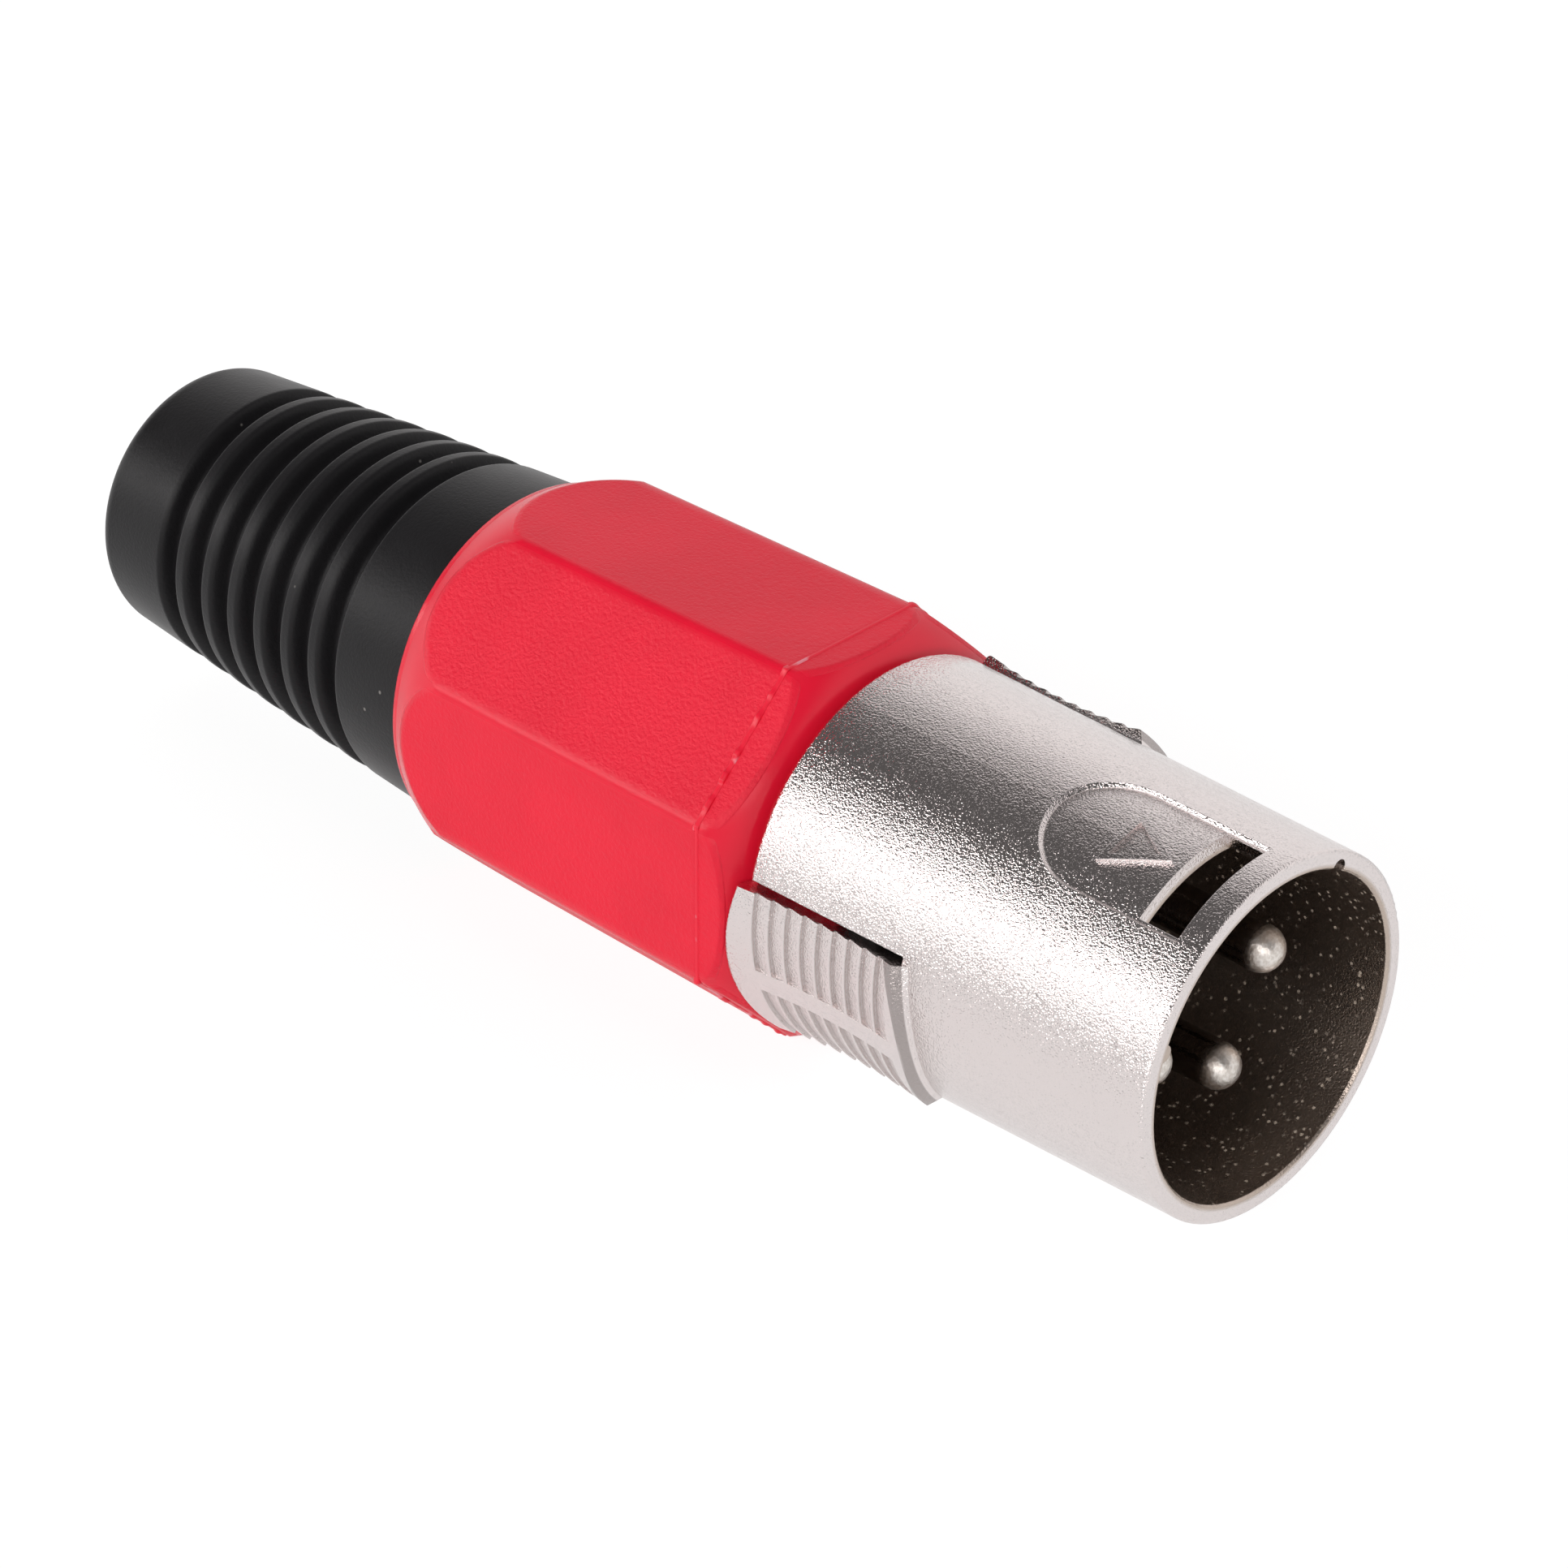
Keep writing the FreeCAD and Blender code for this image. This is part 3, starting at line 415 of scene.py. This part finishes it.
class PlugStage(bpy.types.PropertyGroup):
    """Floor, light and camera."""
    floor: bpy.props.FloatVectorProperty(
        name="Floor", description="Colour of the floor", subtype="COLOR", size=4,
        min=0.0, max=1.0, default=(0.84, 0.84, 0.84, 1.0))
    gap_level: bpy.props.FloatProperty(
        name="Gap level", description="Brightness of the dark gap overhead", default=0.105)
    edge_level: bpy.props.FloatProperty(
        name="Edge level", description="Brightness just above the floor's far edge, in front",
        default=0.15)
    box_level: bpy.props.FloatProperty(
        name="Soft light level", description="Brightness of the soft light in front", default=4.3)
    lens: bpy.props.FloatProperty(
        name="Lens", description="Focal length on a 36 mm sensor", default=113.54)


GROUPS = {"plug_shell": PlugShell, "plug_housing": PlugHousing, "plug_boot": PlugBoot,
          "plug_marks": PlugMarks, "plug_stage": PlugStage}


# Operators

class SHELL_OT_finish(bpy.types.Operator):
    """Satin nickel on the shell, dull in the bore"""
    bl_idname = "plug.shell_finish"
    bl_label = "Finish the shell"

    def execute(self, context):
        s = context.scene.plug_shell
        material, shader, point = finish("satin_nickel", {})
        x, y, z = point.parts()
        radius = (y * y + z * z) ** 0.5
        inside = radius.step(*BORE_RADII)
        grain = point.noise(1.0 / s.grain, detail=1.0, roughness=0.8)
        streaks = point.stretched(STREAK_STRETCH).noise(scale=900.0)
        height = grain * (1.0 - inside * 0.4) + inside * streaks * 1.3
        patches = point.noise(scale=900.0).step(0.38, 0.62)
        dust = point.cells(scale=2500.0).step(0.30, 0.14) * patches * inside
        tone = inside.mix(s.colour, s.bore_colour)
        tone = dust.mix(tone, DUST_COLOUR)
        # Painted shade darkens the tooth walls, the steps' fronts and the far tongue's side.
        tone = self.painted_shade(s, x * -1.0, y, z, radius).mix(tone, s.painted_shade_colour)
        feed(shader, Base_Color=tone,
             Metallic=1.0 - dust * 0.9,
             Roughness=0.12 + grain * 0.08 + inside * 0.16,
             Normal=height.bump(s.grain_height, rounded(point, s.edge)))
        dress(material, "shell")
        return {"FINISHED"}

    @staticmethod
    def painted_shade(s, depth, y, z, radius):
        """Share of painted shade: at each tooth's wall, each step's bowed front and the far
        tongue's side.

        `aside` is the distance from the tongues' middle plane, so both tongues get the same lines.
        """
        aside = (z * math.cos(s.tongue_angle) - y * math.sin(s.tongue_angle)).abs()
        raised = radius.step(*RAISED_RADII)
        from_wall = ((depth - s.tooth_start) / s.tooth_pitch).math("PINGPONG", 0.5)
        rows = aside.step(*ROW_GAP) * depth.step(*ROW_START) * depth.step(*ROW_END)
        teeth = from_wall.step(*TOOTH_LINE) * rows * TOOTH_SHADE
        front = (depth - aside * aside / STEP_BOW).step(*STEP_FRONT)
        far_shade = aside.step(*FAR_SIDE) * y.step(*FAR_HALF) * FAR_SIDE_SHADE
        return teeth.math("MAXIMUM", front).math("MAXIMUM", far_shade) * raised


class CONTACTS_OT_finish(bpy.types.Operator):
    """Bright plate on the contact pins with painted shade behind their tips, and tin on the ground
    strip
    """
    bl_idname = "plug.contacts_finish"
    bl_label = "Finish the contacts"

    def execute(self, context):
        material, shader, point = finish("bright_plate", {"Metallic": 1.0})
        fine = point.noise(scale=5200.0, detail=3.0)
        turning = point.stretched(9.0).noise(scale=2600.0)
        depth = point.parts()[0] * -1.0
        tip = depth.step(*PIN_TIP)
        plate = fine.step(0.35, 0.7).mix(*PIN_PLATE)
        # Behind the tips the pins are painted darker as shade.
        feed(shader, Base_Color=tip.mix(PIN_SHAFT_SHADE, plate),
             Roughness=0.14 + tip * (0.20 + fine * 0.14),
             Normal=(fine + turning * 0.5).bump(0.02 * MM))
        dress(material, "pin_1", "pin_2", "pin_3")
        tin, shader, point = finish("tin_strip", {"Metallic": 1.0})
        fine = point.noise(scale=3000.0, detail=3.0)
        feed(shader, Base_Color=fine.mix(*TIN), Roughness=0.28 + fine * 0.2,
             Normal=fine.bump(0.01 * MM))
        dress(tin, "ground_contact")
        return {"FINISHED"}


class CARRIER_OT_finish(bpy.types.Operator):
    """Moulded black on the contact carrier, natural white on the clamp chuck"""
    bl_idname = "plug.carrier_finish"
    bl_label = "Finish the inner mouldings"

    def execute(self, context):
        black, shader, point = finish("carrier_black", {"Specular IOR Level": 0.4})
        fine = point.noise(scale=3200.0, detail=3.0)
        specks = point.cells(scale=900.0).step(0.10, 0.03)
        feed(shader, Base_Color=specks.mix(fine.mix(*CARRIER_BLACK), CARRIER_SPECKS),
             Roughness=0.42 + fine * 0.2, Normal=fine.bump(0.02 * MM))
        dress(black, "contact_carrier")
        white, shader, point = finish("chuck_white", {"Specular IOR Level": 0.45})
        fine = point.noise(scale=2400.0, detail=3.0)
        feed(shader, Base_Color=fine.mix(*CHUCK_WHITE), Roughness=0.38 + fine * 0.2,
             Normal=fine.bump(0.02 * MM))
        dress(white, "chuck")
        return {"FINISHED"}


def red_plastic(s):
    """Red moulding plastic: fine leather-like grain, soft edges, and a fine thread on the neck."""
    material, shader, point = finish("red_plastic", {"Specular IOR Level": 0.33})
    x, y, z = point.parts()
    radius = (y * y + z * z) ** 0.5
    neck = radius.step(*NECK_RADII) * x.step(*NECK_BACK)
    turn = z.math("ARCTAN2", y) / (2.0 * math.pi)
    thread = (x / s.pitch + turn).math("PINGPONG", 0.5)
    corner = (turn * FLATS).math("PINGPONG", 0.5)
    away = radius * (corner * FLAT_ANGLE).math("COSINE")
    grained = away.step(*[s.flat + edge for edge in GRAIN_EDGE]) * corner.step(*GRAIN_CORNER)
    pebble = point.noise(1.0 / s.grain, detail=3.0, roughness=0.6)
    cloud = point.noise(scale=160.0)
    height = (pebble * (SMOOTH_GRAIN + grained * (1.0 - SMOOTH_GRAIN))
              + neck * thread * THREAD_HEIGHT)
    shade = [channel * share for channel, share in zip(s.colour, CLOUD_SHADE)]
    tone = cloud.step(0.3, 0.7).mix(s.colour, shade)
    feed(shader, Base_Color=tone,
         Roughness=0.24 + grained * (0.14 + pebble * 0.14),
         Normal=height.bump(s.grain_height, rounded(point, s.edge)))
    return material


class HOUSING_OT_finish(bpy.types.Operator):
    """Red plastic with a moulded grain on the housing"""
    bl_idname = "plug.housing_finish"
    bl_label = "Finish the housing"

    def execute(self, context):
        dress(red_plastic(context.scene.plug_housing), "housing")
        return {"FINISHED"}


class MARKS_OT_make(bpy.types.Operator):
    """Thin ragged flash along the mould's parting line"""
    bl_idname = "plug.marks_make"
    bl_label = "Make the mould marks"

    def execute(self, context):
        s = context.scene.plug_marks
        red = context.scene.plug_housing.colour
        material, shader, point = finish("flash_plastic",
                                         {"Specular IOR Level": 0.4, "Roughness": 0.3})
        nicks = point.noise(scale=380.0, detail=3.0, roughness=0.7)
        feed(shader, Base_Color=nicks.step(0.60, 0.66).mix(red, FLASH_NICK),
             Normal=nicks.bump(0.04 * MM))
        piece = surface("parting_flash", self.ridge(s), material, closed=True)
        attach(piece, "housing")
        return {"FINISHED"}

    @staticmethod
    def ridge(s):
        """Ring round the octagon: apothem over the cosine of the angle from a flat's middle.

        Half an ellipse is carried along it. Its height is a sum of sines, each with a seeded size
        and start, raised to a power. It is kept just inside the solids' box.
        """
        points_around, points_across, waves, slowest_wave = 1440, 7, 60, 2
        half_flat = FLAT_ANGLE / 2.0
        angle = np.linspace(0.0, 2.0 * math.pi, points_around, endpoint=False)
        from_flat = (angle + half_flat) % FLAT_ANGLE - half_flat
        ring = s.corner * math.cos(half_flat) / np.cos(from_flat) - 0.05 * MM
        size, start = np.random.default_rng(7).normal(size=(2, waves))[:, :, None]
        order = np.arange(slowest_wave, slowest_wave + waves)[:, None]
        ragged = (size * np.sin(order * angle + start * 9.0)).sum(0)
        ragged = np.clip(0.42 + 0.11 * ragged, 0.0, 1.0) ** 2.2
        tall = s.height * ragged + 0.03 * MM
        across = np.linspace(-1.0, 1.0, points_across)[:, None]
        arch = np.sqrt(1.0 - across ** 2)
        radius = ring[None, :] - 0.06 * MM + arch * (tall[None, :] + 0.11 * MM)
        x = np.broadcast_to(-s.depth + across * s.width / 2.0, radius.shape)
        y = np.clip(radius * np.cos(angle), LOW.y + s.inset, HIGH.y - s.inset)
        z = np.clip(radius * np.sin(angle), LOW.z + s.inset, HIGH.z - s.inset)
        return np.stack([x, y, z], axis=-1)


class BOOT_OT_make(bpy.types.Operator):
    """Ribbed rubber boot, one surface of revolution with its cable bore"""
    bl_idname = "plug.boot_make"
    bl_label = "Make the boot"

    def execute(self, context):
        s = context.scene.plug_boot
        piece = surface("ribbed_boot", self.profile(s), self.rubber(s), closed=True)
        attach(piece, "housing")
        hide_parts("boot")
        return {"FINISHED"}

    @staticmethod
    def profile(s):
        """Outside: two straight tapers less one dip for each groove.

        A dip is its depth times two to the power of minus the fourth power of the distance from its
        middle over half its width. Beyond `reach` half widths it has faded out.
        """
        reach, points_along, points_around = 3.0, 520, 168
        lip_size = 0.4 * MM
        front, end = -BOOT_HIGH.x, -BOOT_LOW.x
        waist = front + (end - front) * s.waist_share
        depth = np.linspace(front, end - s.end_round, points_along)
        radii = [s.front_radius, s.waist_radius, s.end_radius]
        taper = np.interp(depth, [front, waist, end], radii)
        middles = front + s.first + np.arange(s.grooves) * s.pitch
        away = (depth[:, None] - middles[None, :]) / (s.width / 2.0)
        dips = np.exp(-np.log(2.0) * np.minimum(np.abs(away), reach) ** 4).sum(1)
        outside = np.stack([depth, taper - s.depth * dips], axis=1)
        shoulder = quarter(tuple(outside[-1]), (end, s.end_radius - s.end_round), 14)[1:]
        lip = quarter((end, s.bore + lip_size), (end - lip_size, s.bore), 6, outwards=False)
        seat = [(end - ahead, radius) for ahead, radius in SEAT]
        inside = np.array([(end - BORE_LENGTH, s.bore), *seat, (front, SPIGOT_RADIUS)])
        line = np.concatenate([outside, shoulder, lip, inside])
        return revolved(line[:, 0], line[:, 1], points_around)

    @staticmethod
    def rubber(s):
        """Matte rubber with a fine tooth, a faint bloom and a few specks of dust."""
        material, shader, point = finish("boot_rubber", {
            "Specular IOR Level": 0.20, "Sheen Weight": 0.10, "Sheen Roughness": 0.35})
        tooth = point.noise(scale=5200.0, detail=3.0, roughness=0.6)
        bloom = point.noise(scale=420.0, detail=3.0)
        specks = point.cells(scale=520.0).step(0.07, 0.03)
        dark, light = [[channel * share for channel in s.colour[:3]] + [1.0]
                       for share in (0.85, 1.2)]
        feed(shader, Base_Color=(specks * 0.35).mix(bloom.mix(dark, light), BOOT_DUST),
             Roughness=0.36 + bloom * 0.12, Normal=tooth.bump(0.016 * MM))
        return material


class STAGE_OT_make(bpy.types.Operator):
    """Pale floor, soft light all round and the camera"""
    bl_idname = "plug.stage_make"
    bl_label = "Make the stage"

    def execute(self, context):
        s = context.scene.plug_stage
        self.floor(s)
        self.sky(context, s)
        self.lamps(context)
        self.camera(context, s)
        context.scene.view_settings.view_transform = "Standard"
        return {"FINISHED"}

    @staticmethod
    def floor(s):
        """A flat sheet that the plug lies on; it glows to white where it is seen or mirrored."""
        material = bpy.data.materials.new("pale_floor")
        material.use_nodes = True
        tree = material.node_tree
        tree.nodes.clear()
        output = tree.nodes.new("ShaderNodeOutputMaterial")
        path = tree.nodes.new("ShaderNodeLightPath")
        seen, glossy, through = [Wire(tree, path.outputs[n]) for n in (
            "Is Camera Ray", "Is Glossy Ray", "Is Transmission Ray")]
        plain = seen.node("ShaderNodeBsdfDiffuse", None, {"Color": s.floor})
        glow = seen.node("ShaderNodeEmission", None, {"Color": WHITE, "Strength": FLOOR_GLOW})
        soft = seen.node("ShaderNodeBsdfDiffuse", None, {"Color": FLOOR_SOFT})
        lit = seen.node("ShaderNodeAddShader", None, {0: glow, 1: soft})
        shown = (seen + glossy * FLOOR_GLOSS + through).math("MINIMUM", 1.0)
        mixed = seen.node("ShaderNodeMixShader", None, {0: shown, 1: plain, 2: lit})
        tree.links.new(mixed.socket, output.inputs[0])
        corners = np.array([-FLOOR_HALF, FLOOR_HALF])
        x, y = np.meshgrid(corners, corners)
        height = np.full_like(x, HOUSING_LOW.z)
        grid = np.stack([x, y, height], axis=-1)[:, ::-1]
        sheet = surface("floor", grid, material, around=False)

    @staticmethod
    def sky(context, s):
        """White all round, with a dark gap overhead, a soft light in front, a darker edge below it.

        They are bands about the plug's own axis: each goes by the part of the direction that points
        to the front, over the direction's size across the axis. The camera itself sees plain white.
        """
        world = bpy.data.worlds.new("soft_room")
        context.scene.world = world
        world.use_nodes = True
        tree = world.node_tree
        tree.nodes.clear()
        output = tree.nodes.new("ShaderNodeOutputWorld")
        place = Wire(tree, tree.nodes.new("ShaderNodeTexCoord").outputs["Generated"])
        path = tree.nodes.new("ShaderNodeLightPath")
        camera = Wire(tree, path.outputs["Is Camera Ray"])
        _, y, z = place.parts()
        never_zero = 0.0001
        across = (y * y + z * z + never_zero) ** 0.5
        front = y / across * -1.0
        above = z.step(*HORIZON)
        gap = front.step(*GAP_FRONT) * front.step(*GAP_BACK) * above
        box = front.step(*BOX_TOP) * front.step(*BOX_FOOT) * above
        edge = front.step(*EDGE_TOP) * above
        level = (1.0 - gap * (1.0 - s.gap_level) + box * (s.box_level - 1.0)
                 - edge * (1.0 - s.edge_level))
        strength = camera + (1.0 - camera) * level
        light = place.node("ShaderNodeBackground", None, {"Color": SKY_TINT, "Strength": strength})
        white = place.node("ShaderNodeBackground", None, {"Color": WHITE, "Strength": 1.0})
        mixed = place.node("ShaderNodeMixShader", None, {0: camera, 1: light, 2: white})
        tree.links.new(mixed.socket, output.inputs[0])

    @staticmethod
    def lamps(context):
        """One broad lamp above that lifts the top faces, and stays out of the reflections."""
        lamp = bpy.data.lights.new("top_fill", "AREA")
        lamp.shape, lamp.size, lamp.size_y, lamp.energy = "RECTANGLE", 0.9, 0.6, 1.2
        place = bpy.data.objects.new("top_fill", lamp)
        place.location = (-0.04, -0.05, 0.75)
        place.visible_glossy = False
        context.scene.collection.objects.link(place)

    @staticmethod
    def camera(context, s):
        """Camera in front, to the side and above, fitted to the photograph."""
        view = bpy.data.cameras.new("camera")
        view.lens, view.sensor_width, view.sensor_fit = s.lens, 36.0, "HORIZONTAL"
        view.clip_start = 0.01
        place = bpy.data.objects.new("camera", view)
        place.location = (0.114848, -0.153012, 0.130223)
        place.rotation_euler = (1.0207, -0.00604, 0.7674)
        context.scene.collection.objects.link(place)
        context.scene.camera = place


STEPS = (SHELL_OT_finish, CONTACTS_OT_finish, CARRIER_OT_finish, HOUSING_OT_finish, MARKS_OT_make,
         BOOT_OT_make, STAGE_OT_make)


class VIEW3D_PT_plug(bpy.types.Panel):
    """Settings and steps of the plug"""
    bl_label = "Microphone plug"
    bl_space_type = "VIEW_3D"
    bl_region_type = "UI"
    bl_category = "Plug"

    def draw(self, context):
        for step in STEPS:
            self.layout.operator(step.bl_idname)
        for name, group in GROUPS.items():
            box = self.layout.box()
            for setting in group.__annotations__:
                box.prop(getattr(context.scene, name), setting)


def register():
    """Make the settings, steps and panel known."""
    for cls in (*GROUPS.values(), *STEPS, VIEW3D_PT_plug):
        bpy.utils.register_class(cls)
    for name, group in GROUPS.items():
        setattr(bpy.types.Scene, name, bpy.props.PointerProperty(type=group))


def unregister():
    """Take them away again."""
    for name in GROUPS:
        delattr(bpy.types.Scene, name)
    for cls in reversed((*GROUPS.values(), *STEPS, VIEW3D_PT_plug)):
        bpy.utils.unregister_class(cls)


def main():
    """Run every step in order."""
    register()
    for step in STEPS:
        group, name = step.bl_idname.split(".")
        getattr(getattr(bpy.ops, group), name)()


if __name__ == "__main__":
    main()
